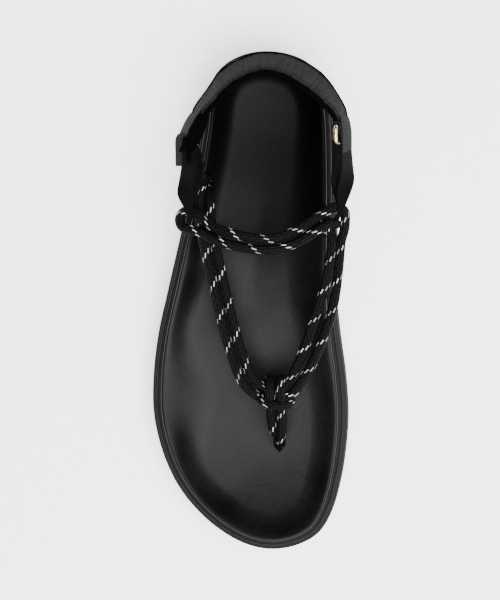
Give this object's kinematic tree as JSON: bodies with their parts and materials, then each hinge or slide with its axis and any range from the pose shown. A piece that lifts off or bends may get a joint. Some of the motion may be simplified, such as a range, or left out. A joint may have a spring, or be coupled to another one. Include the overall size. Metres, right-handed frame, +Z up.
{
  "type": "rope_thong_sandal",
  "caption": "Rope thong sandal for the right foot: doubled cord upper with a knotted toe post, gold rings, padded heel strap and a thick contoured sole.",
  "frame": {"origin": "on the floor, under the middle of the heel's flat tread", "axes": "+Z is up, +Y points from the toe to the heel, +X points to the big toe side of this right shoe"},
  "size_m": [0.1049, 0.258, 0.0779],
  "materials": {
    "footbed_leather": "satin",
    "midsole_foam": "matte",
    "outsole_rubber": "matte",
    "rope": "matte",
    "strap_textile": "matte",
    "gold_metal": "polished"
  },
  "bodies": {
    "root": {"footbed": "footbed_leather", "midsole": "midsole_foam", "outsole": "outsole_rubber", "rope_upper": "rope", "heel_strap": "strap_textile", "webbing_inner": "strap_textile", "webbing_outer": "strap_textile", "ring_inner": "gold_metal", "ring_outer": "gold_metal"}
  },
  "joints": []
}
